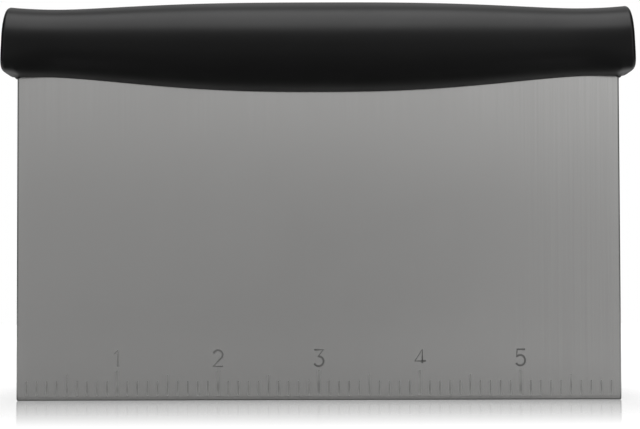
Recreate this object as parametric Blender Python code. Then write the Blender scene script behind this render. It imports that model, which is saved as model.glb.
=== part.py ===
# Dough cutter: a full-width steel blade whose tang is riveted between two moulded core
# halves, under a soft grip that covers them.
#
# Frame: +Z up with the cutting edge down, X along the blade, -Y the front.
# The origin is the middle of the cutting edge. Lengths are in metres.

from math import ceil, cos, hypot, pi, radians, sin, sqrt, tan

import bmesh
import bpy

mm = 0.001

# Blade
blade_width = 152.4 * mm
blade_thickness = 1.2 * mm
exposed_height = 81.77 * mm  # cutting edge to the grip's lip at the waist
ground_height = 1.1 * mm  # height of the two ground faces at the cutting edge
edge_thickness = 0.4 * mm  # left between them, before its corners are broken
blade_corner_radius = 0.35 * mm
edge_break = 0.25 * mm  # tumbled chamfer all round the sheet
shoulder_width = 7.2 * mm  # the tang is narrower than the blade by this at each side
tang_root_radius = 2.0 * mm
tang_corner_radius = 3.0 * mm

# Outer form of the grip
end_overhang = 3.2 * mm  # beyond the blade, at each side
waist_height = 17.06 * mm  # body only, without the collar that hugs the blade
waist_thickness = 17.6 * mm
crown_rise = 1.65 * mm  # of the top, from the waist to the middle
crown_run = 13.9 * mm  # from the end face to the top's lowest point
crown_fullness, crown_ease = 3.0, 1.7
belly_drop = 3.9 * mm  # of the underside, from the waist to the middle
belly_run = 9.4 * mm  # from the end face to the underside's highest point
belly_fullness, belly_ease = 2.5, 1.8
heel_rise = 0.55 * mm  # of the underside, from just inside the blade's sides to the end
heel_run = 3.6 * mm
heel_ease = 2.0
swell = 3.0 * mm  # of each side, from the waist to the middle
swell_fullness, swell_ease = 2.2, 1.5
end_flare = 0.65 * mm  # of the top and each side, from the waist to the end
end_lean = radians(2.6)  # the end faces lean in towards the top
end_radius = 1.2 * mm
widest_share = 0.46  # height of the widest level, as a share of the body's own height
crown_squareness, underside_squareness = 2.1, 2.8  # superellipse powers
end_squareness = 3.2  # added to the underside's power at the end faces

# Collar of the grip, where it hugs the blade
collar_depth = 0.12 * mm
corner_depth = 0.55 * mm  # the collar reaches this much lower at the blade's sides
corner_run = 1.5 * mm
collar_reach = 1.0 * mm
collar_flare = 0.5  # power of the hollow curve that joins the collar to the underside
lip_wall = 0.2 * mm  # at the collar's feathered lower edge

# Walls and fits
fit_gap = 0.3 * mm  # between each piece and its neighbour
grip_wall = 2.2 * mm
core_wall = 2.0 * mm
core_end_radius = 1.0 * mm
rib_thickness = 1.6 * mm
cells_per_rivet = 4  # cells of the core between two neighbouring rivets

# Rivets and locating pegs
rivet_spacing = 50.0 * mm
rivet_shank_radius = 1.5 * mm
rivet_head_radius = 2.8 * mm
rivet_head_height = 1.0 * mm
rivet_roll_radius = 2.3 * mm  # the rear end is hollow and rolled outwards
rivet_roll_height = 0.8 * mm
rivet_bore_radius = 0.9 * mm
rivet_bore_depth = 4.0 * mm
rivet_drill_angle = radians(59)  # half the point angle of the drill that made the bore
rivet_cover = 0.4 * mm  # of core above the head, where the handle is thinnest
peg_radius = 2.4 * mm
peg_reach = 4.5 * mm  # past the blade's mid-plane
peg_chamfer = 0.6 * mm
boss_radius = 4.6 * mm

# Facets, with the steps along the length counted from the middle to one end
crown_steps, side_steps = 9, 6
core_crown_steps, core_side_steps = 6, 4
length_steps, core_length_steps = 14, 10
end_round_steps = 5
turned_steps = 24
arc_steps = 5
dome_steps = 4
smooth_angle = radians(35)

# Sizes that follow from the ones above
grip_length = blade_width + 2 * end_overhang
underside_height = exposed_height + collar_depth
core_inset = grip_wall + fit_gap
shoulder_height = underside_height + core_inset - fit_gap  # the core sits on the shoulders
tang_width = blade_width - 2 * shoulder_width
tang_top = underside_height + waist_height - core_inset - core_wall - fit_gap
rivet_height = (shoulder_height + tang_top) / 2
rivet_seat = waist_thickness / 2 - core_inset - rivet_cover - rivet_head_height
core_length = grip_length - 2 * core_inset
lip_width = fit_gap + lip_wall
rivet_places = {"left": -rivet_spacing, "centre": 0.0, "right": rivet_spacing}
peg_places = (-rivet_spacing / 2, rivet_spacing / 2)
cutter_margin = 5.0 * mm
least_step = 0.1 * mm
weld_distance = 0.01 * mm


def clear_scene():
    for leftover in list(bpy.data.objects):
        bpy.data.objects.remove(leftover)


def make_material(name, colour, roughness, metallic):
    material = bpy.data.materials.new(name)
    material.use_nodes = True
    shader = material.node_tree.nodes["Principled BSDF"]
    shader.inputs["Base Color"].default_value = (*colour, 1.0)
    shader.inputs["Roughness"].default_value = roughness
    shader.inputs["Metallic"].default_value = metallic
    return material


def make_object(name, mesh_builder, material=None):
    """Turns a bmesh into an object; one without a material is a cutter."""
    mesh = bpy.data.meshes.new(name)
    bmesh.ops.recalc_face_normals(mesh_builder, faces=mesh_builder.faces)
    mesh_builder.to_mesh(mesh)
    mesh_builder.free()
    made = bpy.data.objects.new(name, mesh)
    bpy.context.scene.collection.objects.link(made)
    if material:
        mesh.materials.append(material)
    else:
        made.hide_render = True
        made.display_type = "WIRE"
    return made


def shade_round(made):
    made.data.shade_smooth()
    made.data.set_sharp_from_angle(angle=smooth_angle)


def combine(target, other, operation):
    boolean = target.modifiers.new(f"{operation.lower()}_{other.name}", "BOOLEAN")
    boolean.operation = operation
    boolean.object = other
    boolean.solver = "EXACT"


def hump(x, span, fullness, ease):
    """1 at the middle of the handle, easing down to 0 at half the span."""
    share = min(abs(x) / (span / 2), 1.0)
    return (1 - share**fullness) ** ease


def end_share(x):
    """0 up to the waist, growing to 1 at the end face."""
    waist = grip_length / 2 - crown_run
    return max((abs(x) - waist) / crown_run, 0.0) ** 2


def form_at(x):
    """Top height, underside height and half thickness of the grip's body at x."""
    top = underside_height + waist_height + end_flare * end_share(x)
    top += crown_rise * hump(x, grip_length - 2 * crown_run, crown_fullness, crown_ease)
    underside = underside_height - belly_drop * hump(
        x, grip_length - 2 * belly_run, belly_fullness, belly_ease
    )
    along_heel = min(max((abs(x) - grip_length / 2 + heel_run) / heel_run, 0.0), 1.0)
    underside += heel_rise * (1 - (1 - along_heel) ** heel_ease)
    half = waist_thickness / 2 + end_flare * end_share(x)
    half += swell * hump(x, grip_length - 2 * crown_run, swell_fullness, swell_ease)
    return top, underside, half


def collar_drop(x, y):
    """How far the collar hangs below the body's underside at a point in plan."""
    beyond_side = max(abs(x) - blade_width / 2, 0.0)
    beyond_face = max(abs(y) - blade_thickness / 2, 0.0)
    across = (hypot(beyond_side, beyond_face) - lip_width) / collar_reach
    across = min(max(across, 0.0), 1.0)
    corner = 1 - min(max(blade_width / 2 - abs(x), 0.0) / corner_run, 1.0)
    return (collar_depth + corner_depth * corner**2) * (1 - across**collar_flare)


def collar_places():
    """Distances from the blade at which the collar's hollow curve has its points."""
    angles = [pi / 2 * i / (arc_steps - 1) for i in range(arc_steps)]
    return [lip_width + collar_reach * (1 - cos(angle)) for angle in angles]


def half_section(x, inset, rounding, steps, collar):
    """The +Y side of the handle's section at x, from the underside's middle to the crown."""
    top, underside, half = form_at(x)
    top -= inset + rounding
    underside += inset + rounding
    half -= inset + rounding
    widest = underside + widest_share * (top - underside)
    power = underside_squareness + end_squareness * end_share(x)
    upper_steps, lower_steps = steps
    side_places = [half * sin(pi / 2 * i / lower_steps) ** (2 / power) for i in range(lower_steps)]
    if collar:
        side_places += [blade_thickness / 2 + place for place in collar_places()]
    points = []
    for y in sorted(side_places):
        sink = (1 - (y / half) ** power) ** (1 / power)
        z = widest - (widest - underside) * sink
        points.append((y, z - collar_drop(x, y) if collar else z))
    for i in range(upper_steps + 1):
        angle = pi / 2 * i / upper_steps
        y = half * abs(cos(angle)) ** (2 / crown_squareness) if i < upper_steps else 0.0
        points.append((y, widest + (top - widest) * sin(angle) ** (2 / crown_squareness)))
    return points


def end_stations(length, radius, steps, extra=()):
    """Places along X for a form of this length whose ends are rounded with this radius."""
    flat = length / 2 - radius
    side = [flat * i / steps for i in range(1, steps + 1)]
    side += [flat + radius * sin(pi / 2 * i / end_round_steps) for i in range(1, end_round_steps + 1)]
    kept = [place for place in side if all(abs(place - other) > least_step for other in extra)]
    side = sorted([*kept, *extra])
    return [*(-place for place in reversed(side)), 0.0, *side]


def handle_loft(places, inset, radius, steps, collar=False):
    """A closed loft through the handle's sections at these places along X.

    With a radius, the first and last sections are end faces rounded by it."""
    builder = bmesh.new()
    rings = []
    for x in places:
        past = max(abs(x) - (grip_length / 2 - inset - radius), 0.0) if radius else 0.0
        rounding = radius - sqrt(max(radius**2 - past**2, 0.0))
        side = half_section(x, inset, rounding, steps, collar)
        outline = side + [(-y, z) for y, z in reversed(side[1:-1])]
        side_of_middle = -1 if x < 0 else 1
        ring = []
        for y, z in outline:
            lean = side_of_middle * end_share(x) * tan(end_lean) * (z - underside_height)
            ring.append(builder.verts.new((x - lean, y, z)))
        rings.append(ring)
    for first, second in zip(rings, rings[1:]):
        for i in range(len(first)):
            j = (i + 1) % len(first)
            builder.faces.new((first[i], first[j], second[j], second[i]))
    builder.faces.new(reversed(rings[0]))
    builder.faces.new(rings[-1])
    return builder


def box(low, high):
    builder = bmesh.new()
    add_box(builder, low, high)
    return builder


def add_box(builder, low, high):
    corners = bmesh.ops.create_cube(builder, size=1.0)["verts"]
    for corner in corners:
        for axis in range(3):
            corner.co[axis] = high[axis] if corner.co[axis] > 0 else low[axis]


def add_bar(builder, x, z, radius, low_y, high_y):
    """A round bar along Y, used for holes, bosses and counterbores."""
    ends = bmesh.ops.create_cone(
        builder,
        cap_ends=True,
        segments=turned_steps,
        radius1=radius,
        radius2=radius,
        depth=high_y - low_y,
    )["verts"]
    for vertex in ends:
        across, up, along = vertex.co
        vertex.co = (x + across, (low_y + high_y) / 2 - along, z + up)


def turned(name, profile, material=None):
    """A solid of revolution about its own Z, from (radius, height) points running down its outer side."""
    builder = bmesh.new()
    vertices = [builder.verts.new((radius, 0, height)) for radius, height in profile]
    for first, second in zip(vertices, vertices[1:]):
        builder.edges.new((first, second))
    made = make_object(name, builder, material)
    screw = made.modifiers.new("turn", "SCREW")
    screw.steps = screw.render_steps = turned_steps
    screw.use_merge_vertices = True
    screw.merge_threshold = weld_distance
    screw.use_smooth_shade = True
    return made


def arc(centre_x, centre_z, radius, start, end):
    angles = [radians(start + (end - start) * i / arc_steps) for i in range(arc_steps + 1)]
    return [(centre_x + radius * cos(angle), centre_z + radius * sin(angle)) for angle in angles]


def blade_outline(inset):
    """The sheet's outline in X and Z, moved inwards by inset, counter-clockwise from its lower right."""
    half, tang = blade_width / 2, tang_width / 2
    lower, root, upper = blade_corner_radius, tang_root_radius, tang_corner_radius
    right = arc(half - lower, lower, lower - inset, -90, 0)
    right += arc(half - lower, shoulder_height - lower, lower - inset, 0, 90)
    right += arc(tang + root, shoulder_height + root, root + inset, 270, 180)
    right += arc(tang - upper, tang_top - upper, upper - inset, 0, 90)
    return right + [(-x, z) for x, z in reversed(right)]


def plate(levels):
    """A sheet through outlines given as (inset, y) pairs, from the front face to the rear face."""
    builder = bmesh.new()
    rings = [[builder.verts.new((x, y, z)) for x, z in blade_outline(inset)] for inset, y in levels]
    for first, second in zip(rings, rings[1:]):
        for i in range(len(first)):
            j = (i + 1) % len(first)
            builder.faces.new((first[i], first[j], second[j], second[i]))
    builder.faces.new(reversed(rings[0]))
    builder.faces.new(rings[-1])
    return builder


def make_blade(steel):
    face = blade_thickness / 2
    builder = plate(
        [(edge_break, -face), (0.0, edge_break - face), (0.0, face - edge_break), (edge_break, face)]
    )
    everything = [*builder.verts, *builder.edges, *builder.faces]
    bmesh.ops.bisect_plane(
        builder, geom=everything, plane_co=(0, 0, ground_height), plane_no=(0, 0, 1), dist=1e-7
    )
    edge_share = edge_thickness / blade_thickness
    for vertex in builder.verts:
        vertex.co.y *= edge_share + (1 - edge_share) * min(vertex.co.z / ground_height, 1.0)
    blade = make_object("blade", builder, steel)

    holes = bmesh.new()
    for x in rivet_places.values():
        add_bar(holes, x, rivet_height, rivet_shank_radius + fit_gap, -cutter_margin, cutter_margin)
    for x in peg_places:
        add_bar(holes, x, rivet_height, peg_radius + fit_gap, -cutter_margin, cutter_margin)
    combine(blade, make_object("tang_hole_cutter", holes), "DIFFERENCE")
    return blade


def make_blade_space():
    """The room that the blade takes in the core and the grip, with the fit gap all round it."""
    face = blade_thickness / 2 + fit_gap
    return make_object("blade_space", plate([(-fit_gap, -face), (-fit_gap, face)]))


def make_cells():
    """The hollows of the core between its ribs, each a short loft, with the bosses left standing."""
    inset = core_inset + core_wall
    pitch = rivet_spacing / cells_per_rivet
    reach = core_length / 2 - core_wall
    builder = bmesh.new()
    count = ceil(reach / pitch)
    for number in range(-count, count):
        start = max(number * pitch + rib_thickness / 2, -reach)
        end = min((number + 1) * pitch - rib_thickness / 2, reach)
        if end - start < rib_thickness:
            continue
        places = (start, (start + end) / 2, end)
        cell = handle_loft(places, inset, 0.0, (core_crown_steps, core_side_steps))
        hollow = bpy.data.meshes.new("cell")
        cell.to_mesh(hollow)
        cell.free()
        builder.from_mesh(hollow)
        bpy.data.meshes.remove(hollow)
    cells = make_object("cells", builder)

    bosses = bmesh.new()
    for x in (*rivet_places.values(), *peg_places):
        add_bar(bosses, x, rivet_height, boss_radius, -grip_length, grip_length)
    combine(cells, make_object("bosses", bosses), "DIFFERENCE")
    return cells


def make_rivet_space():
    """The rivets' holes through the core and the counterbores of their two ends."""
    builder = bmesh.new()
    for x in rivet_places.values():
        add_bar(builder, x, rivet_height, rivet_shank_radius + fit_gap, -cutter_margin, cutter_margin)
    holes = make_object("rivet_hole_cutter", builder)
    builder = bmesh.new()
    reach = waist_thickness
    for x in rivet_places.values():
        radius = rivet_head_radius + fit_gap
        add_bar(builder, x, rivet_height, radius, -reach, fit_gap - rivet_seat)
        add_bar(builder, x, rivet_height, radius, rivet_seat - fit_gap, reach)
    return holes, make_object("counterbore_cutter", builder)


def make_core(plastic):
    places = end_stations(core_length, core_end_radius, core_length_steps)
    steps = (core_crown_steps, core_side_steps)
    blade_space, cells = make_blade_space(), make_cells()
    rivet_holes, counterbores = make_rivet_space()
    far = grip_length
    halves = {}
    for name, side in (("core_front", -1), ("core_rear", 1)):
        half = make_object(name, handle_loft(places, core_inset, core_end_radius, steps), plastic)
        low = (-far, -far, -far) if side < 0 else (-far, fit_gap / 2, -far)
        high = (far, -fit_gap / 2, far) if side < 0 else (far, far, far)
        combine(half, make_object(f"{name}_side", box(low, high)), "INTERSECT")
        combine(half, cells, "DIFFERENCE")
        combine(half, blade_space, "DIFFERENCE")
        combine(half, rivet_holes, "DIFFERENCE")
        combine(half, counterbores, "DIFFERENCE")
        halves[name] = half

    sockets = bmesh.new()
    for x in peg_places:
        add_bar(sockets, x, rivet_height, peg_radius + fit_gap, -fit_gap, peg_reach + fit_gap)
    combine(halves["core_rear"], make_object("socket_cutter", sockets), "DIFFERENCE")

    profile = [
        (0.0, peg_reach),
        (peg_radius - peg_chamfer, peg_reach),
        (peg_radius, peg_reach - peg_chamfer),
        (peg_radius, -rivet_seat),
        (0.0, -rivet_seat),
    ]
    for x in peg_places:
        peg = turned("peg_left" if x < 0 else "peg_right", profile)
        peg.location = (x, 0, rivet_height)
        peg.rotation_euler = (-pi / 2, 0, 0)
        combine(halves["core_front"], peg, "UNION")
    return [*halves.values()], blade_space


def make_rivets(steel):
    """Semi-tubular rivets: a domed head at the front, a hollow end rolled over at the rear."""
    turns = [pi / 2 * i / dome_steps for i in range(dome_steps + 1)]
    head = [(rivet_head_radius * sin(a), rivet_seat + rivet_head_height * cos(a)) for a in turns]
    middle = (rivet_roll_radius + rivet_bore_radius) / 2
    bead = (rivet_roll_radius - rivet_bore_radius) / 2
    roll = [(middle + bead * cos(2 * a), -rivet_seat - rivet_roll_height * sin(2 * a)) for a in turns]
    bore_end = rivet_bore_depth - rivet_seat - rivet_roll_height
    profile = [
        *head,
        (rivet_shank_radius, rivet_seat),
        (rivet_shank_radius, -rivet_seat),
        *roll,
        (rivet_bore_radius, bore_end),
        (0.0, bore_end + rivet_bore_radius / tan(rivet_drill_angle)),
    ]
    rivets = []
    for place, x in rivet_places.items():
        rivet = turned(f"rivet_{place}", profile, steel)
        rivet.location = (x, 0, rivet_height)
        rivet.rotation_euler = (pi / 2, 0, 0)
        rivets.append(rivet)
    return rivets


def make_grip(rubber, blade_space):
    collar_stations = [blade_width / 2 - corner_run, blade_width / 2 - corner_run / 2, blade_width / 2]
    collar_stations += [blade_width / 2 + place for place in collar_places()]
    extra = [place for place in collar_stations if place < grip_length / 2 - end_radius]
    places = end_stations(grip_length, end_radius, length_steps, extra)
    form = handle_loft(places, 0.0, end_radius, (crown_steps, side_steps), collar=True)
    grip = make_object("soft_grip", form, rubber)

    inner_places = end_stations(grip_length - 2 * grip_wall, core_end_radius, core_length_steps)
    inner = handle_loft(inner_places, grip_wall, core_end_radius, (core_crown_steps, core_side_steps))
    cavity = make_object("grip_cavity", inner)
    plugs = bmesh.new()
    far = grip_length
    for x in rivet_places.values():
        head_end = rivet_seat + rivet_head_height + fit_gap
        roll_end = rivet_seat + rivet_roll_height + fit_gap
        add_bar(plugs, x, rivet_height, rivet_head_radius, -far, -head_end)
        add_bar(plugs, x, rivet_height, rivet_head_radius, roll_end, far)
    combine(cavity, make_object("counterbore_plugs", plugs), "DIFFERENCE")
    combine(grip, cavity, "DIFFERENCE")
    combine(grip, blade_space, "DIFFERENCE")
    return grip


def main():
    clear_scene()
    blade_steel = make_material("blade_steel", (0.55, 0.55, 0.54), 0.34, 1.0)
    rivet_steel = make_material("rivet_steel", (0.5, 0.5, 0.5), 0.4, 1.0)
    core_plastic = make_material("core_plastic", (0.055, 0.055, 0.058), 0.55, 0.0)
    grip_rubber = make_material("grip_rubber", (0.012, 0.012, 0.013), 0.42, 0.0)

    blade = make_blade(blade_steel)
    halves, blade_space = make_core(core_plastic)
    rivets = make_rivets(rivet_steel)
    grip = make_grip(grip_rubber, blade_space)
    for moulded in (*halves, grip):
        shade_round(moulded)

    cutter = bpy.data.objects.new("dough_cutter", None)
    bpy.context.scene.collection.objects.link(cutter)
    for part in (blade, *halves, *rivets, grip):
        part.parent = cutter


main()
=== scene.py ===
# Looks for the dough cutter: a steel blade with an inch scale under a soft black grip.
# Metres, +Z up, the scale faces -Y. The dictionaries are in millimetres and degrees.

import math
import re

import bmesh
import bpy
from mathutils import Matrix, Vector


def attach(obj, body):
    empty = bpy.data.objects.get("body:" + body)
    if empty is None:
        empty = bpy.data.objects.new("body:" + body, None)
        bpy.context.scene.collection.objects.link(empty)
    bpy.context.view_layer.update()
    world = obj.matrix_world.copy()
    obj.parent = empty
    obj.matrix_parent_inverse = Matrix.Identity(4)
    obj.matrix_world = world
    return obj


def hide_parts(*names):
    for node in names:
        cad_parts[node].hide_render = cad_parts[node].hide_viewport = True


mm = 0.001
mmPerMetre = 1000.0
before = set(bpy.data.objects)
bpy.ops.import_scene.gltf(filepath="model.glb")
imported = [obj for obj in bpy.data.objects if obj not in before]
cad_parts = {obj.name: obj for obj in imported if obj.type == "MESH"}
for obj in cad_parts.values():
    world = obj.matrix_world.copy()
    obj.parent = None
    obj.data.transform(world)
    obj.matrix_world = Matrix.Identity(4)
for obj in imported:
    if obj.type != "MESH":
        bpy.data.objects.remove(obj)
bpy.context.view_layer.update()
scene = bpy.context.scene
print("packed model loaded:", ", ".join(sorted(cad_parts)))


class Wire:  # a number on a node tree's wire, so that sums read as sums
    def __init__(self, tree, socket):
        self.tree = tree
        self.socket = socket

    def calc(self, operation, *others):
        node = self.tree.nodes.new("ShaderNodeMath")
        node.operation = operation
        for entry, value in zip(node.inputs, (self, *others)):
            plug(self.tree, value, entry)
        return Wire(self.tree, node.outputs[0])

    def __add__(self, other):
        return self.calc("ADD", other)

    def __sub__(self, other):
        return self.calc("SUBTRACT", other)

    def __rsub__(self, other):
        return self.calc("MULTIPLY", -1.0) + other

    def __mul__(self, other):
        return self.calc("MULTIPLY", other)

    def __truediv__(self, other):
        return self.calc("DIVIDE", other)

    def __rtruediv__(self, other):
        return self.calc("POWER", -1.0) * other

    def __pow__(self, other):
        return self.calc("POWER", other)

    __radd__ = __add__
    __rmul__ = __mul__

    def atLeast(self, other):
        return self.calc("MAXIMUM", other)

    def atMost(self, other):
        return self.calc("MINIMUM", other)

    def within01(self):
        return self.atLeast(0.0).atMost(1.0)

    def ramp(self, start, end):  # 0 before the start, 1 past the end
        return ((self - start) / (end - start)).within01()

    def absolute(self):
        return self.calc("ABSOLUTE")


def plug(tree, value, entry):  # a wire, a socket or a plain value into a socket
    if isinstance(value, Wire):
        tree.links.new(value.socket, entry)
    elif isinstance(value, bpy.types.NodeSocket):
        tree.links.new(value, entry)
    else:
        entry.default_value = value


def addNode(tree, kind, settings=None, **values):  # LineWidth=2.0 fills the socket Line Width
    node = tree.nodes.new(kind)
    for name, value in (settings or {}).items():
        setattr(node, name, value)
    for name, value in values.items():
        plug(tree, value, node.inputs[re.sub("([a-z])([A-Z])", r"\1 \2", name)])
    return node


def splitAxes(tree, place, axes):  # a wire for each axis, in millimetres
    parts = addNode(tree, "ShaderNodeSeparateXYZ", Vector=place).outputs
    return [Wire(tree, parts[axis]) * mmPerMetre for axis in axes]


def joinAxes(tree, x, y, z):
    return addNode(tree, "ShaderNodeCombineXYZ", X=x, Y=y, Z=z).outputs[0]


def vectorMath(tree, operation, first, second):
    node = addNode(tree, "ShaderNodeVectorMath", {"operation": operation})
    plug(tree, first, node.inputs[0])
    plug(tree, second, node.inputs[1])
    return node.outputs[0]


def addNoise(tree, place, scale, detail, distortion=0.0):
    values = {"Vector": place, "Scale": scale, "Detail": detail, "Distortion": distortion}
    return Wire(tree, addNode(tree, "ShaderNodeTexNoise", **values).outputs["Fac"])


def addObject(name, data):
    piece = bpy.data.objects.new(name, data)
    scene.collection.objects.link(piece)
    return piece


def addBuilt(name, builder):  # an object from a bmesh, which is freed
    mesh = bpy.data.meshes.new(name)
    builder.to_mesh(mesh)
    builder.free()
    return addObject(name, mesh)


# Camera, at the photograph's viewing angle

photoCamera = {
    "lens": 100.0,
    "filmWidth": 36.0,
    "aside": 0.38,
    "away": 449.5,
    "height": 30.18,
    "tiltUp": 2.12,
    "roll": -0.15,
    "nearest": 20.0,
    "farthest": 20000.0,
}


def makeCamera(sizes):
    data = bpy.data.cameras.new("photoCamera")
    data.lens = sizes["lens"]
    data.sensor_width = sizes["filmWidth"]
    data.clip_start, data.clip_end = sizes["nearest"] * mm, sizes["farthest"] * mm
    camera = addObject("photoCamera", data)
    turn = Matrix.Rotation(math.radians(90 + sizes["tiltUp"]), 4, "X")
    turn = turn @ Matrix.Rotation(math.radians(sizes["roll"]), 4, "Z")
    place = Matrix.Translation((sizes["aside"] * mm, -sizes["away"] * mm, sizes["height"] * mm))
    camera.matrix_world = place @ turn
    scene.camera = camera


makeCamera(photoCamera)
print("camera placed")


# Shader node groups that more than one finish uses

brushLayers = (  # the finest lines, and broader ones among them
    {"scale": 1.0, "seed": 0.0, "detail": 3.0, "share": 0.6},
    {"scale": 0.31, "seed": 7.3, "detail": 3.0, "share": 0.4},
)
satinDetail = {"Height": 2.0, "Mottle": 4.0}
rubbedPatches = {"scale": 420.0, "detail": 4.0, "strength": 1.4, "fade": 2.0}
smearPattern = {"detail": 5.0, "distortion": 0.6, "start": 0.42, "contrast": 3.2}


def startGroup(name, inputs, outputs):  # an input whose value is None is a vector
    tree = bpy.data.node_groups.new(name, "ShaderNodeTree")
    for title, value in inputs.items():
        kind = "NodeSocketVector" if value is None else "NodeSocketFloat"
        socket = tree.interface.new_socket(title, in_out="INPUT", socket_type=kind)
        if value is not None:
            socket.default_value = value
    for title in outputs:
        tree.interface.new_socket(title, in_out="OUTPUT", socket_type="NodeSocketFloat")
    given = tree.nodes.new("NodeGroupInput").outputs
    return tree, given, tree.nodes.new("NodeGroupOutput").inputs


def makeBrushedGrain():  # lines along Z, as an abrasive belt leaves them
    inputs = {"Coordinates": None, "Line Width": 0.25, "Line Length": 30.0, "Depth": 1.0}
    tree, given, out = startGroup("brushedGrain", inputs, ["Height", "Tone"])
    sizes = (Wire(tree, given[title]) for title in ("Line Width", "Line Length"))
    across, along = (mmPerMetre / size for size in sizes)
    lines = []
    for layer in brushLayers:
        wide, tall = across * layer["scale"], along * layer["scale"]
        stretch = joinAxes(tree, wide, wide, tall)
        scaled = vectorMath(tree, "MULTIPLY", given["Coordinates"], stretch)
        moved = vectorMath(tree, "ADD", scaled, (layer["seed"],) * 3)
        lines.append(addNoise(tree, moved, scale=1.0, detail=layer["detail"]) * layer["share"])
    tone = lines[0] + lines[1]
    plug(tree, tone * Wire(tree, given["Depth"]), out["Height"])
    plug(tree, tone, out["Tone"])
    return tree


def makeSatinGrain():  # the fine spark texture of a mould, with a slow mottle under it
    inputs = {"Coordinates": None, "Grain Size": 0.12, "Mottle Size": 9.0}
    tree, given, out = startGroup("satinGrain", inputs, ["Height", "Mottle"])
    for size, title in (("Grain Size", "Height"), ("Mottle Size", "Mottle")):
        scale = mmPerMetre / Wire(tree, given[size])
        plug(tree, addNoise(tree, given["Coordinates"], scale, satinDetail[title]), out[title])
    return tree


def makeRubbedEnds():  # a mask for what hands and boards touch: the two ends and the lower edge
    inputs = {"Coordinates": None, "Half Length": 76.2, "Foot": 0.0, "Reach": 6.0}
    tree, given, out = startGroup("rubbedEnds", inputs, ["Mask"])
    x, z = splitAxes(tree, given["Coordinates"], "XZ")
    fromEnd = Wire(tree, given["Half Length"]) - x.absolute()
    fromFoot = z - Wire(tree, given["Foot"])
    nearest = fromEnd.atMost(fromFoot).atLeast(0.0) / Wire(tree, given["Reach"])
    worn = (1.0 - nearest.within01()) ** rubbedPatches["fade"]
    patches = addNoise(tree, given["Coordinates"], rubbedPatches["scale"], rubbedPatches["detail"])
    plug(tree, (worn * (patches * rubbedPatches["strength"])).within01(), out["Mask"])
    return tree


def makeHandMarks():  # wiped smears and faint finger marks
    tree, given, out = startGroup("handMarks", {"Coordinates": None, "Smear Size": 22.0}, ["Mask"])
    pattern = (smearPattern["detail"], smearPattern["distortion"])
    scale = mmPerMetre / Wire(tree, given["Smear Size"])
    slow = addNoise(tree, given["Coordinates"], scale, *pattern)
    mask = (slow - smearPattern["start"]) * smearPattern["contrast"]
    plug(tree, mask.within01(), out["Mask"])
    return tree


groups = {
    "brushed": makeBrushedGrain(),
    "satin": makeSatinGrain(),
    "rubbed": makeRubbedEnds(),
    "marks": makeHandMarks(),
}
print("shader groups built:", ", ".join(sorted(groups)))


# What the materials share

def startMaterial(name):
    material = bpy.data.materials.new(name)
    material.use_nodes = True
    tree = material.node_tree
    shader = tree.nodes["Principled BSDF"]
    coordinates = tree.nodes.new("ShaderNodeTexCoord").outputs["Object"]
    return material, tree, shader.inputs, coordinates


def useGroup(tree, key, coordinates, **values):
    node = addNode(tree, "ShaderNodeGroup", {"node_tree": groups[key]}, **values)
    plug(tree, coordinates, node.inputs["Coordinates"])
    return {title: Wire(tree, socket) for title, socket in node.outputs.items()}


def mixColours(tree, factor, first, second):
    node = addNode(tree, "ShaderNodeMix", {"data_type": "RGBA"})
    plug(tree, factor, node.inputs["Factor"])
    for entry, colour in ((node.inputs[6], first), (node.inputs[7], second)):  # its colour sockets
        plug(tree, (*colour, 1.0) if isinstance(colour, tuple) else colour, entry)
    return node.outputs[2]


def addBump(tree, height, strength, distance, below=None):
    node = addNode(tree, "ShaderNodeBump", Height=height, Strength=strength, Distance=distance)
    if below is not None:
        plug(tree, below, node.inputs["Normal"])
    return node.outputs["Normal"]


def lightPaths(tree):  # what the camera sees straight on, and what it sees by mirror or glass
    path = tree.nodes.new("ShaderNodeLightPath").outputs
    mirrored = Wire(tree, path["Is Glossy Ray"]).atLeast(Wire(tree, path["Is Transmission Ray"]))
    return Wire(tree, path["Is Camera Ray"]), mirrored


# Geometry node trees, and the plain meshes that they leave

def startForm(name, sizes):  # one named input for each size
    tree = bpy.data.node_groups.new(name, "GeometryNodeTree")
    for title, value in sizes.items():
        kind = "NodeSocketInt" if isinstance(value, int) else "NodeSocketFloat"
        tree.interface.new_socket(title, in_out="INPUT", socket_type=kind).default_value = value
    tree.interface.new_socket("Geometry", in_out="OUTPUT", socket_type="NodeSocketGeometry")
    given = tree.nodes.new("NodeGroupInput").outputs
    return tree, {title: Wire(tree, given[title]) for title in sizes}


def endForm(tree, geometry, material):
    real = addNode(tree, "GeometryNodeRealizeInstances", Geometry=geometry)
    painted = addNode(tree, "GeometryNodeSetMaterial", Geometry=real.outputs[0], Material=material)
    plug(tree, painted.outputs[0], tree.nodes.new("NodeGroupOutput").inputs[0])


def setPlaces(tree, geometry, x, y, z):  # x, y and z are in millimetres
    place = joinAxes(tree, x * mm, y * mm, z * mm)
    moved = addNode(tree, "GeometryNodeSetPosition", Geometry=geometry, Position=place)
    return moved.outputs[0]


def evaluatedMesh(source):
    bpy.context.view_layer.update()
    graph = bpy.context.evaluated_depsgraph_get()
    return bpy.data.meshes.new_from_object(source.evaluated_get(graph))


def keepMesh(source):  # swaps an object's modifiers for their result
    mesh = evaluatedMesh(source)
    mesh.name = source.name
    source.modifiers.clear()
    source.data = mesh
    return source


def growMesh(name, tree, sizes):  # runs the tree once and keeps the plain mesh
    source = addObject(name, bpy.data.meshes.new(name))
    grow = source.modifiers.new(name, "NODES")
    grow.node_group = tree
    for socket in tree.interface.items_tree:
        if socket.in_out == "INPUT":
            grow[socket.identifier] = sizes[socket.name]
    return keepMesh(source)


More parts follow.
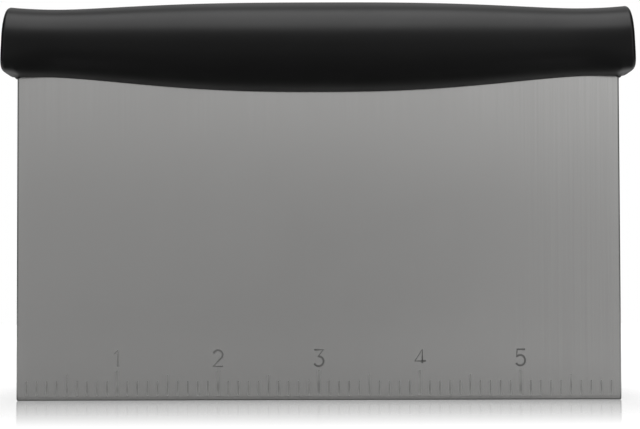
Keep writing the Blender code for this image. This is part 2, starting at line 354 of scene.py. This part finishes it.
def turnFacesOut(piece, weld=1e-7):
    builder = bmesh.new()
    builder.from_mesh(piece.data)
    bmesh.ops.remove_doubles(builder, verts=builder.verts, dist=weld)
    bmesh.ops.recalc_face_normals(builder, faces=builder.faces)
    builder.to_mesh(piece.data)
    builder.free()


# Blade

bladeSize = {"width": 152.4, "thickness": 1.2, "inch": 25.4}
bladeFinish = {
    "steel": (0.67, 0.667, 0.656),
    "steelShade": (0.59, 0.587, 0.577),
    "shade": 0.35,  # share of the shade in plain steel
    "streaks": 0.45,
    "smears": 0.12,
    "smearSize": 26.0,
    "lineWidth": 0.35,
    "lineLength": 45.0,
    "coarser": 3.0,  # how much coarser the brushing is at the right end
    "coarseFrom": 40.0,
    "coarseAt": 60.0,
    "roughness": 0.1,
    "roughLines": 0.08,
    "roughSmears": 0.03,
    "roughEdges": 0.05,
    "rubbedReach": 4.0,
    # colour of the painted shade along the cutting edge and the two sides
    "paintedEdgeShade": (0.3, 0.3, 0.295),
    "paintedShadeHeight": 0.4,  # height of the painted shadow line along the cutting edge, where the blade meets the floor
    "paintedShadeWidth": 0.5,  # width of the painted shade lines at the two sides
    "paintedShadeFade": 0.5,
    "bump": 0.001,
    "bumpStrength": 0.35,
}


def makeBladeSteel(finish):
    material, tree, shader, place = startMaterial("bladeSteel")
    x, height = splitAxes(tree, place, "XZ")
    halfWidth = bladeSize["width"] / 2
    coarse = x.ramp(finish["coarseFrom"], finish["coarseAt"]) * finish["coarser"] + 1.0
    lines = {"LineWidth": finish["lineWidth"], "LineLength": finish["lineLength"], "Depth": coarse}
    brushed = useGroup(tree, "brushed", place, **lines)
    edges = {"HalfLength": halfWidth, "Foot": 0.0, "Reach": finish["rubbedReach"]}
    worn = useGroup(tree, "rubbed", place, **edges)["Mask"]
    smears = useGroup(tree, "marks", place, SmearSize=finish["smearSize"])["Mask"]

    streaks = (brushed["Tone"] - 0.5) * coarse * finish["streaks"]
    shade = (streaks + smears * finish["smears"] + finish["shade"]).within01()
    steel = mixColours(tree, shade, finish["steel"], finish["steelShade"])
    # painted shade: a darker line along the cutting edge stands in for the contact shadow, and
    # darker lines at the two sides stand in for the shade on the side edges
    fromEdge = height / finish["paintedShadeHeight"]
    fromSide = (halfWidth - x.absolute()) / finish["paintedShadeWidth"]
    paintedEdgeShade = (1.0 - fromEdge.atMost(fromSide).within01()) ** finish["paintedShadeFade"]
    plug(tree, mixColours(tree, paintedEdgeShade, steel, finish["paintedEdgeShade"]), shader["Base Color"])
    shader["Metallic"].default_value = 1.0
    rough = brushed["Tone"] * finish["roughLines"] + smears * finish["roughSmears"]
    rough = rough + worn * finish["roughEdges"] + finish["roughness"]
    plug(tree, rough, shader["Roughness"])
    normal = addBump(tree, brushed["Height"], finish["bumpStrength"], finish["bump"] * mm)
    plug(tree, normal, shader["Normal"])
    return material


bladeSteel = makeBladeSteel(bladeFinish)
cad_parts["blade"].data.materials[0] = bladeSteel
print("blade finished")


# Inch scale, etched on the blade's front

scaleMarks = {
    "Left Edge": -bladeSize["width"] / 2,
    "Face": -bladeSize["thickness"] / 2,
    "Pitch": bladeSize["inch"] / 10,
    "Marks": 59,
    "Mark Width": 0.4,
    "Inch Wider": 0.8,  # share that an inch mark is wider
    "Proud": 0.018,
    "Foot": 1.3,
    "Tenth Height": 3.65,
    "Half Height": 5.2,
    "Inch Height": 6.3,
}
scaleDigits = {
    "foot": 8.6,
    "height": 4.1,
    "width": 2.75,
    "stroke": 0.51,
    "proud": 0.02,
    "roundSteps": 2,
    "arcSteps": 14,
}
etchPattern = {
    "grain": 0.16,
    "mottle": 3.0,
    "wornFrom": 0.35,
    "wornContrast": 2.2,
    "lineWidth": 0.2,
    "lineLength": 6.0,
    "roughLines": 0.15,
    "metallic": 0.9,
    "bump": 0.002,
    "bumpStrength": 0.3,
}
markFinish = {
    "etch": (0.27, 0.27, 0.263),
    "worn": (0.4, 0.4, 0.39),
    "gone": (0.4, 0.4, 0.393),
    "roughness": 0.42,
    "fades": [  # along an axis: where a fade starts and ends, and how faint the etching is there
        ("Z", 2.5, 1.3, 0.95),
        ("Z", 3.8, 5.2, 0.45),
    ],
}
digitFinish = {
    "etch": (0.15, 0.15, 0.146),
    "worn": (0.19, 0.19, 0.186),
    "gone": (0.4, 0.4, 0.393),
    "roughness": 0.45,
    "fades": [("X", -10.0, -50.0, 0.45)],
}


def makeEtch(name, finish, pattern):
    material, tree, shader, place = startMaterial(name)
    grain = useGroup(tree, "satin", place, GrainSize=pattern["grain"], MottleSize=pattern["mottle"])
    lines = {"LineWidth": pattern["lineWidth"], "LineLength": pattern["lineLength"]}
    brushed = useGroup(tree, "brushed", place, **lines)
    worn = ((grain["Mottle"] - pattern["wornFrom"]) * pattern["wornContrast"]).within01()
    etched = mixColours(tree, worn, finish["etch"], finish["worn"])
    gone = 0.0
    for axis, start, end, faintness in finish["fades"]:
        gone = (splitAxes(tree, place, axis)[0].ramp(start, end) * faintness).atLeast(gone)
    plug(tree, mixColours(tree, gone, etched, finish["gone"]), shader["Base Color"])
    shader["Metallic"].default_value = pattern["metallic"]
    rough = brushed["Tone"] * pattern["roughLines"] + finish["roughness"]
    plug(tree, rough, shader["Roughness"])
    normal = addBump(tree, grain["Height"], pattern["bumpStrength"], pattern["bump"] * mm)
    plug(tree, normal, shader["Normal"])
    return material


etchedMark = makeEtch("etchedMark", markFinish, etchPattern)
etchedDigit = makeEtch("etchedDigit", digitFinish, etchPattern)


def isMultiple(number, step, tolerance=0.1):  # 1 where the number divides by the step, or else 0
    return number.calc("MODULO", step).calc("COMPARE", 0.0, tolerance)


def makeMarksTree(sizes, material):
    tree, size = startForm("scaleMarks", sizes)
    line = addNode(tree, "GeometryNodeMeshLine", Count=size["Marks"]).outputs[0]
    number = Wire(tree, tree.nodes.new("GeometryNodeInputIndex").outputs[0]) + 1.0
    isHalf, isInch = isMultiple(number, 5.0), isMultiple(number, 10.0)
    height = size["Tenth Height"] + isHalf * (size["Half Height"] - size["Tenth Height"])
    height = height + isInch * (size["Inch Height"] - size["Half Height"])
    x = size["Left Edge"] + number * size["Pitch"]
    points = setPlaces(tree, line, x, size["Face"], size["Foot"] + height / 2.0)
    block = joinAxes(tree, size["Mark Width"] * mm, size["Proud"] * (2.0 * mm), mm)
    mark = addNode(tree, "GeometryNodeMeshCube", Size=block).outputs[0]
    stretch = joinAxes(tree, isInch * size["Inch Wider"] + 1.0, 1.0, height)
    row = {"Points": points, "Instance": mark, "Scale": stretch}
    copies = addNode(tree, "GeometryNodeInstanceOnPoints", **row)
    endForm(tree, copies.outputs[0], material)
    return tree


def arcPoints(x, z, radiusX, radiusZ, start, end):  # from one angle to another, 0 at the right
    steps = scaleDigits["arcSteps"]
    turns = [math.radians(start + (end - start) * i / steps) for i in range(steps + 1)]
    return [(x + radiusX * math.cos(turn), z + radiusZ * math.sin(turn)) for turn in turns]


digitStrokes = {  # in a box one unit wide and one unit high, centred across
    1: [[(-0.26, 0.78), (0.06, 1.0), (0.06, 0.0)]],
    2: [arcPoints(0.0, 0.71, 0.42, 0.29, 165, -28) + [(-0.44, 0.0), (0.46, 0.0)]],
    3: [[(-0.42, 1.0), (0.4, 1.0), (-0.06, 0.6)] + arcPoints(-0.02, 0.3, 0.45, 0.3, 88, -152)],
    4: [[(0.24, 0.16), (0.24, 1.0), (-0.44, 0.3), (0.56, 0.3)]],
    5: [[(0.42, 1.0), (-0.3, 1.0), (-0.36, 0.54)] + arcPoints(-0.02, 0.33, 0.44, 0.32, 128, -150)],
}


def makeDigits(sizes, material):
    curve = bpy.data.curves.new("scaleDigits", "CURVE")
    curve.dimensions = "3D"
    curve.bevel_depth = sizes["stroke"] / 2
    curve.bevel_resolution = sizes["roundSteps"]
    curve.use_fill_caps = True
    for digit, strokes in digitStrokes.items():
        middle = digit * bladeSize["inch"] - bladeSize["width"] / 2
        for stroke in strokes:
            spline = curve.splines.new("POLY")
            spline.points.add(len(stroke) - 1)
            for point, (across, up) in zip(spline.points, stroke):
                x, z = middle + across * sizes["width"], sizes["foot"] + up * sizes["height"]
                point.co = (x, 0.0, z, 1.0)
    drawn = addObject("scaleDigits", curve)
    mesh = evaluatedMesh(drawn)
    bpy.data.objects.remove(drawn)
    face = -bladeSize["thickness"] / 2
    for vertex in mesh.vertices:  # the round strokes are pressed flat
        x, y, z = vertex.co
        y = max(-sizes["proud"], min(sizes["proud"], y))
        vertex.co = (x * mm, (face + y) * mm, z * mm)
    mesh.materials.clear()
    mesh.materials.append(material)
    digits = addObject("scaleDigits", mesh)
    turnFacesOut(digits)
    mesh.shade_flat()
    return digits


marks = growMesh("scaleMarks", makeMarksTree(scaleMarks, etchedMark), scaleMarks)
digits = makeDigits(scaleDigits, etchedDigit)
for piece in (marks, digits):
    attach(piece, "root")
print("scale etched:", scaleMarks["Marks"], "marks and", len(digitStrokes), "numbers")


# Grip. Its height and thickness follow humps: full ones stay level longer in the middle, and
# eased ones run out more softly. A run is where the hump ends, measured in from the handle's end.

gripForm = {
    "Length": 158.79,
    "Underside Height": 81.89,
    "Waist Height": 17.06,
    "Waist Thickness": 17.6,
    "Crown Rise": 1.65,
    "Crown Run": 13.9,
    "Crown Fullness": 3.0,
    "Crown Ease": 1.7,
    "Belly Drop": 3.9,
    "Belly Run": 9.4,
    "Belly Fullness": 2.5,
    "Belly Ease": 1.8,
    "Heel Rise": 0.55,
    "Heel Run": 3.6,
    "Heel Ease": 2.0,
    "Swell": 3.0,
    "Swell Fullness": 2.2,
    "Swell Ease": 1.5,
    "End Flare": 0.65,
    "End Lean": 0.0454,  # slope of the end faces
    "End Radius": 1.2,
    "Widest Share": 0.46,  # how far up the section it is widest
    "Crown Power": 2.1,  # 2 is round, more is squarer
    "Underside Power": 2.8,
    "End Power": 3.2,  # added to the underside's at the end faces
    "Blade Width": bladeSize["width"],
    "Blade Thickness": bladeSize["thickness"],
    "Collar Depth": 0.12,
    "Corner Depth": 0.55,
    "Corner Run": 1.5,
    "Collar Reach": 1.0,
    "Collar Flare": 0.5,
    "Lip Width": 0.5,
    "Inset": 0.0,
    "Collar Share": 1.0,
    "Stations": 217,  # rows of points along the handle
    "Around": 177,  # and round it
}
gripCavity = {"Inset": 2.2, "Collar Share": 0.0, "End Radius": 1.0, "Stations": 81, "Around": 61}
gripGrid = {  # how the grid's rows are shared out, from 0 at its middle to 1 at its edge
    "rimFrom": 0.84,  # along the handle: the body, then the rounded rim
    "capFrom": 0.93,  # then the end face
    "endCrowding": 1.5,  # above 1, rows stand closer towards the ends
    "crownFrom": 0.55,  # round the handle: the underside, then the crown
    "bladeCrowding": 1.6,  # above 1, rows stand closer towards the blade
    "weld": 0.002,
    "sharpFrom": 38.0,  # angle
}
bladeSlot = {"gap": 0.08, "low": 70.0, "high": 84.19}
gripFinish = {
    "rubber": (0.0021, 0.0021, 0.0022),
    "rubbed": (0.0055, 0.0055, 0.0058),
    "rubbedEnds": 0.6,
    "rubbedSmears": 0.35,
    "rubbedReach": 7.0,
    "halfLength": 79.4,
    "foot": 70.0,
    "smearSize": 16.0,
    "grain": 0.14,
    "mottle": 14.0,
    "shine": 0.2,
    "roughness": 0.32,
    "roughMottle": 0.05,
    "roughSmears": -0.03,
    "roughEnds": 0.03,
    "roughGrazing": 0.36,  # added where the surface turns away
    "grazingPower": 4.0,
    "bump": 0.006,
    "bumpStrength": 0.5,
    "partingLine": 0.22,
    "partingFade": 2.0,
    "partingBump": 0.05,
    "partingStrength": 0.6,
}


def makeGripRubber(finish):
    material, tree, shader, place = startMaterial("gripRubber")
    grain = useGroup(tree, "satin", place, GrainSize=finish["grain"], MottleSize=finish["mottle"])
    ends = {"HalfLength": finish["halfLength"], "Foot": finish["foot"]}
    worn = useGroup(tree, "rubbed", place, **ends, Reach=finish["rubbedReach"])["Mask"]
    smears = useGroup(tree, "marks", place, SmearSize=finish["smearSize"])["Mask"]

    touched = (worn * finish["rubbedEnds"] + smears * finish["rubbedSmears"]).within01()
    plug(tree, mixColours(tree, touched, finish["rubber"], finish["rubbed"]), shader["Base Color"])
    shader["Specular IOR Level"].default_value = finish["shine"]
    rough = grain["Mottle"] * finish["roughMottle"] + smears * finish["roughSmears"]
    rough = rough + worn * finish["roughEnds"] + finish["roughness"]
    facing = Wire(tree, tree.nodes.new("ShaderNodeLayerWeight").outputs["Facing"])
    rough = rough + facing ** finish["grazingPower"] * finish["roughGrazing"]
    plug(tree, rough, shader["Roughness"])

    fromSeam = splitAxes(tree, place, "Y")[0].absolute() / finish["partingLine"]
    seam = (1.0 - fromSeam.within01()) ** finish["partingFade"]
    normal = addBump(tree, grain["Height"], finish["bumpStrength"], finish["bump"] * mm)
    normal = addBump(tree, seam, finish["partingStrength"], finish["partingBump"] * mm, normal)
    plug(tree, normal, shader["Normal"])
    return material


gripRubber = makeGripRubber(gripFinish)


def makeGripTree(sizes, material):
    tree, size = startForm("gripForm", sizes)
    rows = {"VerticesX": size["Stations"], "VerticesY": size["Around"]}
    grid = addNode(tree, "GeometryNodeMeshGrid", SizeX=1.0, SizeY=1.0, **rows).outputs[0]
    position = tree.nodes.new("GeometryNodeInputPosition").outputs[0]
    parts = addNode(tree, "ShaderNodeSeparateXYZ", Vector=position).outputs
    run, turn = (Wire(tree, parts[axis]) * 2.0 for axis in "XY")
    quarter = math.pi / 2

    # along the handle: the body, then the rounded rim, then the end face closing on its middle
    along = run.absolute()
    body = (along / gripGrid["rimFrom"]).atMost(1.0)
    rim = along.ramp(gripGrid["rimFrom"], gripGrid["capFrom"])
    cap = along.ramp(gripGrid["capFrom"], 1.0)
    halfLength, radius = size["Length"] / 2.0, size["End Radius"]
    flat = halfLength - size["Inset"] - radius
    x = flat * (1.0 - (1.0 - body) ** gripGrid["endCrowding"])
    x = x + radius * (rim * quarter).calc("SINE")
    drawnIn = size["Inset"] + radius * (1.0 - (rim * quarter).calc("COSINE"))
    toEnd = ((x - halfLength + size["Crown Run"]) / size["Crown Run"]).atLeast(0.0) ** 2.0

    def hump(name, reach):
        share = (x / (halfLength - size[reach])).atMost(1.0)
        return (1.0 - share ** size[name + " Fullness"]) ** size[name + " Ease"]

    top = size["Underside Height"] + size["Waist Height"] + size["End Flare"] * toEnd
    top = top + size["Crown Rise"] * hump("Crown", "Crown Run") - drawnIn
    past = ((x - halfLength + size["Heel Run"]) / size["Heel Run"]).within01()
    underside = size["Underside Height"] - size["Belly Drop"] * hump("Belly", "Belly Run")
    underside = underside + size["Heel Rise"] * (1.0 - (1.0 - past) ** size["Heel Ease"]) + drawnIn
    half = size["Waist Thickness"] / 2.0 + size["End Flare"] * toEnd
    half = half + size["Swell"] * hump("Swell", "Crown Run") - drawnIn
    widest = underside + size["Widest Share"] * (top - underside)

    # round the handle: from the middle of the underside up each side to the crown
    around = turn.absolute()
    lower = (around / gripGrid["crownFrom"]).atMost(1.0)
    upper = around.ramp(gripGrid["crownFrom"], 1.0)
    out = (lower ** gripGrid["bladeCrowding"] * quarter).calc("SINE")
    lowY = half * out
    power = size["Underside Power"] + size["End Power"] * toEnd
    sink = (1.0 - out ** power).atLeast(0.0) ** (1.0 / power)
    lowZ = widest - (widest - underside) * sink
    crownPower = 2.0 / size["Crown Power"]
    highY = half * (upper * quarter).calc("COSINE").atLeast(0.0) ** crownPower
    highZ = widest + (top - widest) * (upper * quarter).calc("SINE") ** crownPower

    # the collar that runs down to the blade, deeper at the blade's two sides
    halfWidth = size["Blade Width"] / 2.0
    pastSide = (x - halfWidth).atLeast(0.0)
    pastFace = (lowY - size["Blade Thickness"] / 2.0).atLeast(0.0)
    away = (pastSide * pastSide + pastFace * pastFace).calc("SQRT")
    across = ((away - size["Lip Width"]) / size["Collar Reach"]).within01()
    corner = 1.0 - ((halfWidth - x).atLeast(0.0) / size["Corner Run"]).atMost(1.0)
    depth = size["Collar Depth"] + size["Corner Depth"] * corner ** 2.0
    lowZ = lowZ - depth * (1.0 - across ** size["Collar Flare"]) * size["Collar Share"]

    isLow = around.calc("LESS_THAN", gripGrid["crownFrom"])
    y = (highY + isLow * (lowY - highY)) * (1.0 - cap)
    z = highZ + isLow * (lowZ - highZ)
    middle = (top + underside) / 2.0
    z = middle + (z - middle) * (1.0 - cap)
    lean = toEnd * size["End Lean"] * (z - size["Underside Height"])
    placed = setPlaces(tree, grid, run.calc("SIGN") * (x - lean), turn.calc("SIGN") * y, z)
    weld = {"Geometry": placed, "Distance": gripGrid["weld"] * mm}
    closed = addNode(tree, "GeometryNodeMergeByDistance", **weld)
    smooth = addNode(tree, "GeometryNodeSetShadeSmooth", Geometry=closed.outputs[0])
    endForm(tree, smooth.outputs[0], material)
    return tree


def makeSlot(sizes):
    builder = bmesh.new()
    halfX, halfY = (bladeSize[side] / 2 + sizes["gap"] for side in ("width", "thickness"))
    for corner in bmesh.ops.create_cube(builder, size=2.0)["verts"]:
        x, y, z = corner.co
        height = sizes["high"] if z > 0 else sizes["low"]
        corner.co = (x * halfX * mm, y * halfY * mm, height * mm)
    return addBuilt("bladeSlot", builder)


def makeGrip():
    tree = makeGripTree(gripForm, gripRubber)
    grip = growMesh("softGrip", tree, gripForm)
    cavity = growMesh("gripCavity", tree, {**gripForm, **gripCavity})
    cutters = [cavity, makeSlot(bladeSlot)]
    for piece in (grip, *cutters):
        turnFacesOut(piece)
    for cutter in cutters:
        cut = grip.modifiers.new(cutter.name, "BOOLEAN")
        cut.operation = "DIFFERENCE"
        cut.solver = "EXACT"
        cut.object = cutter
    keepMesh(grip)
    for cutter in cutters:
        bpy.data.objects.remove(cutter)
    grip.data.shade_smooth()
    grip.data.set_sharp_from_angle(angle=math.radians(gripGrid["sharpFrom"]))
    return grip


grip = makeGrip()
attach(grip, "root")
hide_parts("soft_grip")
print("grip formed:", len(grip.data.polygons), "faces")


# Core halves and rivets, sealed inside the grip

coreFinish = {
    "plastic": (0.05, 0.05, 0.053),
    "shade": (0.062, 0.062, 0.066),
    "grain": 0.3,
    "mottle": 8.0,
    "roughness": 0.49,
    "roughMottle": 0.12,
    "bump": 0.01,
    "bumpStrength": 0.4,
}
rivetFinish = {
    "zinc": (0.52, 0.52, 0.53),
    "dull": (0.38, 0.385, 0.4),
    "lineWidth": 0.12,
    "lineLength": 1.5,
    "smearSize": 2.0,
    "roughness": 0.32,
    "roughLines": 0.12,
    "roughSmears": 0.1,
    "bump": 0.003,
    "bumpStrength": 0.4,
}


def makeCorePlastic(finish):
    material, tree, shader, place = startMaterial("corePlastic")
    grain = useGroup(tree, "satin", place, GrainSize=finish["grain"], MottleSize=finish["mottle"])
    colour = mixColours(tree, grain["Mottle"], finish["plastic"], finish["shade"])
    plug(tree, colour, shader["Base Color"])
    rough = grain["Mottle"] * finish["roughMottle"] + finish["roughness"]
    plug(tree, rough, shader["Roughness"])
    normal = addBump(tree, grain["Height"], finish["bumpStrength"], finish["bump"] * mm)
    plug(tree, normal, shader["Normal"])
    return material


def makeRivetZinc(finish):
    material, tree, shader, place = startMaterial("rivetZinc")
    lines = {"LineWidth": finish["lineWidth"], "LineLength": finish["lineLength"]}
    brushed = useGroup(tree, "brushed", place, **lines)
    smears = useGroup(tree, "marks", place, SmearSize=finish["smearSize"])["Mask"]
    plug(tree, mixColours(tree, smears, finish["zinc"], finish["dull"]), shader["Base Color"])
    shader["Metallic"].default_value = 1.0
    rough = brushed["Tone"] * finish["roughLines"] + smears * finish["roughSmears"]
    plug(tree, rough + finish["roughness"], shader["Roughness"])
    normal = addBump(tree, brushed["Height"], finish["bumpStrength"], finish["bump"] * mm)
    plug(tree, normal, shader["Normal"])
    return material


corePlastic = makeCorePlastic(coreFinish)
rivetZinc = makeRivetZinc(rivetFinish)
for name in ("core_front", "core_rear"):
    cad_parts[name].data.materials[0] = corePlastic
for name in ("rivet_left", "rivet_centre", "rivet_right"):
    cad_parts[name].data.materials[0] = rivetZinc
print("core and rivets finished")


# Floor: white to the camera, with a soft mirror image of the blade that fades towards the front

floorFinish = {
    "radius": 800.0,
    "segments": 96,
    "below": 0.02,
    "colour": 0.223,
    # the paint grows lighter towards the right: a painted pool of light, which metal sees in its
    # reflection
    "paintedLightRight": 0.28,
    "paintedLightAt": 110.0,
    "grain": 1.5,
    "mottle": 120.0,
    "mottleShare": 0.1,
    "roughness": 0.8,
    "glow": 0.83,  # how white it is to the camera before any light falls on it
    "glowFar": 1.0,
    "farFrom": 250.0,
    "farTo": 450.0,
    "behindFrom": 8.0,  # behind this and beside the object, metal and rubber see it white too
    "besideFrom": 92.0,
    "besideTo": 120.0,
    "besideFront": 120.0,
    "mirror": 1.51,
    "mirrorIndex": 1.5,
    "mirrorRoughness": 0.12,
    "mirrorReach": 90.0,
    "mirrorCurve": 2.0,
    "mirrorFadeFrom": 77.0,  # to either side
    "mirrorFadeTo": 101.0,
}


def makeFloorPaint(finish):
    material, tree, shader, place = startMaterial("floorPaint")
    x, y = splitAxes(tree, place, "XY")
    grain = useGroup(tree, "satin", place, GrainSize=finish["grain"], MottleSize=finish["mottle"])
    # painted light: the paint grows lighter towards the right, with a random mottle in it
    toRight = (x / finish["paintedLightAt"]).within01() * (1.0 - finish["mottleShare"])
    toRight = toRight + grain["Mottle"] * finish["mottleShare"]
    paintedLightTint = mixColours(tree, toRight, (finish["colour"],) * 3, (finish["paintedLightRight"],) * 3)
    plug(tree, paintedLightTint, shader["Base Color"])
    shader["Roughness"].default_value = finish["roughness"]
    shader["Specular IOR Level"].default_value = 0.0

    seen, mirrored = lightPaths(tree)
    farness = (x * x + y * y).calc("SQRT").ramp(finish["farFrom"], finish["farTo"])
    glow = farness * (finish["glowFar"] - finish["glow"]) + finish["glow"]
    behind = y.calc("GREATER_THAN", finish["behindFrom"])
    beside = x.absolute().ramp(finish["besideFrom"], finish["besideTo"])
    beside = beside * y.calc("GREATER_THAN", -finish["besideFront"])
    white = seen.atLeast(mirrored * behind.atLeast(beside))
    shader["Emission Color"].default_value = (1, 1, 1, 1)
    plug(tree, white * glow, shader["Emission Strength"])

    fade = (1.0 - (y.absolute() / finish["mirrorReach"]) ** finish["mirrorCurve"]).atLeast(0.0)
    fade = fade * (1.0 - x.absolute().ramp(finish["mirrorFadeFrom"], finish["mirrorFadeTo"]))
    grazing = Wire(tree, addNode(tree, "ShaderNodeFresnel", IOR=finish["mirrorIndex"]).outputs[0])
    share = (grazing * grazing * fade * seen * finish["mirror"]).within01()
    mirror = addNode(tree, "ShaderNodeBsdfAnisotropic", Roughness=finish["mirrorRoughness"])
    paint = tree.nodes["Principled BSDF"]
    mix = tree.nodes.new("ShaderNodeMixShader")
    for entry, value in zip(mix.inputs, (share, paint.outputs[0], mirror.outputs[0])):
        plug(tree, value, entry)
    plug(tree, mix.outputs[0], tree.nodes["Material Output"].inputs["Surface"])
    return material


def makeFloor(finish):
    builder = bmesh.new()
    circle = {"segments": finish["segments"], "radius": finish["radius"] * mm}
    bmesh.ops.create_circle(builder, cap_ends=True, **circle)
    bmesh.ops.translate(builder, verts=builder.verts, vec=(0, 0, -finish["below"] * mm))
    floor = addBuilt("floor", builder)
    floor.data.materials.append(makeFloorPaint(finish))


makeFloor(floorFinish)
print("floor laid")


# Studio: a white backdrop behind, pale walls in front, dark sides, and three soft boxes

room = {
    "front": 0.321,  # brightness of the front wall, low down
    "frontRight": 0.4,  # share that its right is brighter
    "frontLeft": 0.09,
    "high": 0.565,  # the same, higher up
    "highRight": 0.285,
    "highLeft": -0.17,
    "rightCurve": 1.6,
    "sides": 0.05,
    "backdrop": 1.0,
    "angles": {  # up, or to either side
        "highFrom": 3.2,
        "highAt": 6.6,
        "sidesFrom": 17.0,
        "sidesTo": 40.0,
        "backdropSide": 13.0,
        "backdropTop": 60.0,
    },
}
lamps = {
    "overhead": {
        "place": (0, -275, 700),
        "aim": (0, -275, 0),
        "size": (660, 750),
        "radiance": 3.85,
    },
    "leftStrip": {
        "place": (-450, -536, 380),
        "aim": (0, 0, 60),
        "size": (240, 800),
        "radiance": 1.6,
    },
    "rightStrip": {
        "place": (450, -536, 380),
        "aim": (0, 0, 60),
        "size": (240, 800),
        "radiance": 2.1,
    },
}


def makeRoom(light):
    world = bpy.data.worlds.new("studioRoom")
    scene.world = world
    world.use_nodes = True
    tree = world.node_tree
    tree.nodes.clear()
    facing = tree.nodes.new("ShaderNodeTexCoord").outputs["Generated"]
    parts = addNode(tree, "ShaderNodeSeparateXYZ", Vector=facing).outputs
    x, y, z = (Wire(tree, parts[axis]) for axis in "XYZ")
    sine = {title: math.sin(math.radians(angle)) for title, angle in light["angles"].items()}
    toRight, toLeft = ((side / sine["backdropSide"]).within01() for side in (x, -1.0 * x))
    toRight = toRight ** light["rightCurve"]

    def tilted(height):
        tilt = toRight * light[height + "Right"] + toLeft * light[height + "Left"]
        return (tilt + 1.0) * light[height]

    low = tilted("front")
    wall = low + z.ramp(sine["highFrom"], sine["highAt"]) * (tilted("high") - low)
    toSide = x.absolute().ramp(sine["sidesFrom"], sine["sidesTo"])
    wall = wall + toSide * (light["sides"] - wall)
    behind = y.calc("GREATER_THAN", 0.0) * z.calc("LESS_THAN", sine["backdropTop"])
    behind = behind * x.absolute().calc("LESS_THAN", sine["backdropSide"])
    seen, mirrored = lightPaths(tree)
    strength = wall + seen.atLeast(mirrored * behind) * (light["backdrop"] - wall)
    background = addNode(tree, "ShaderNodeBackground", Color=(1, 1, 1, 1), Strength=strength)
    plug(tree, background.outputs[0], tree.nodes.new("ShaderNodeOutputWorld").inputs[0])


def makeLamp(name, setting):
    data = bpy.data.lights.new(name, "AREA")
    data.shape = "RECTANGLE"
    data.size, data.size_y = (side * mm for side in setting["size"])
    data.energy = setting["radiance"] * math.pi * data.size * data.size_y
    place, aim = (Vector([side * mm for side in setting[title]]) for title in ("place", "aim"))
    turn = (aim - place).to_track_quat("-Z", "Y").to_matrix().to_4x4()
    addObject(name, data).matrix_world = Matrix.Translation(place) @ turn


makeRoom(room)
for name, setting in lamps.items():
    makeLamp(name, setting)
scene.view_settings.view_transform = "Standard"
print("studio lit")
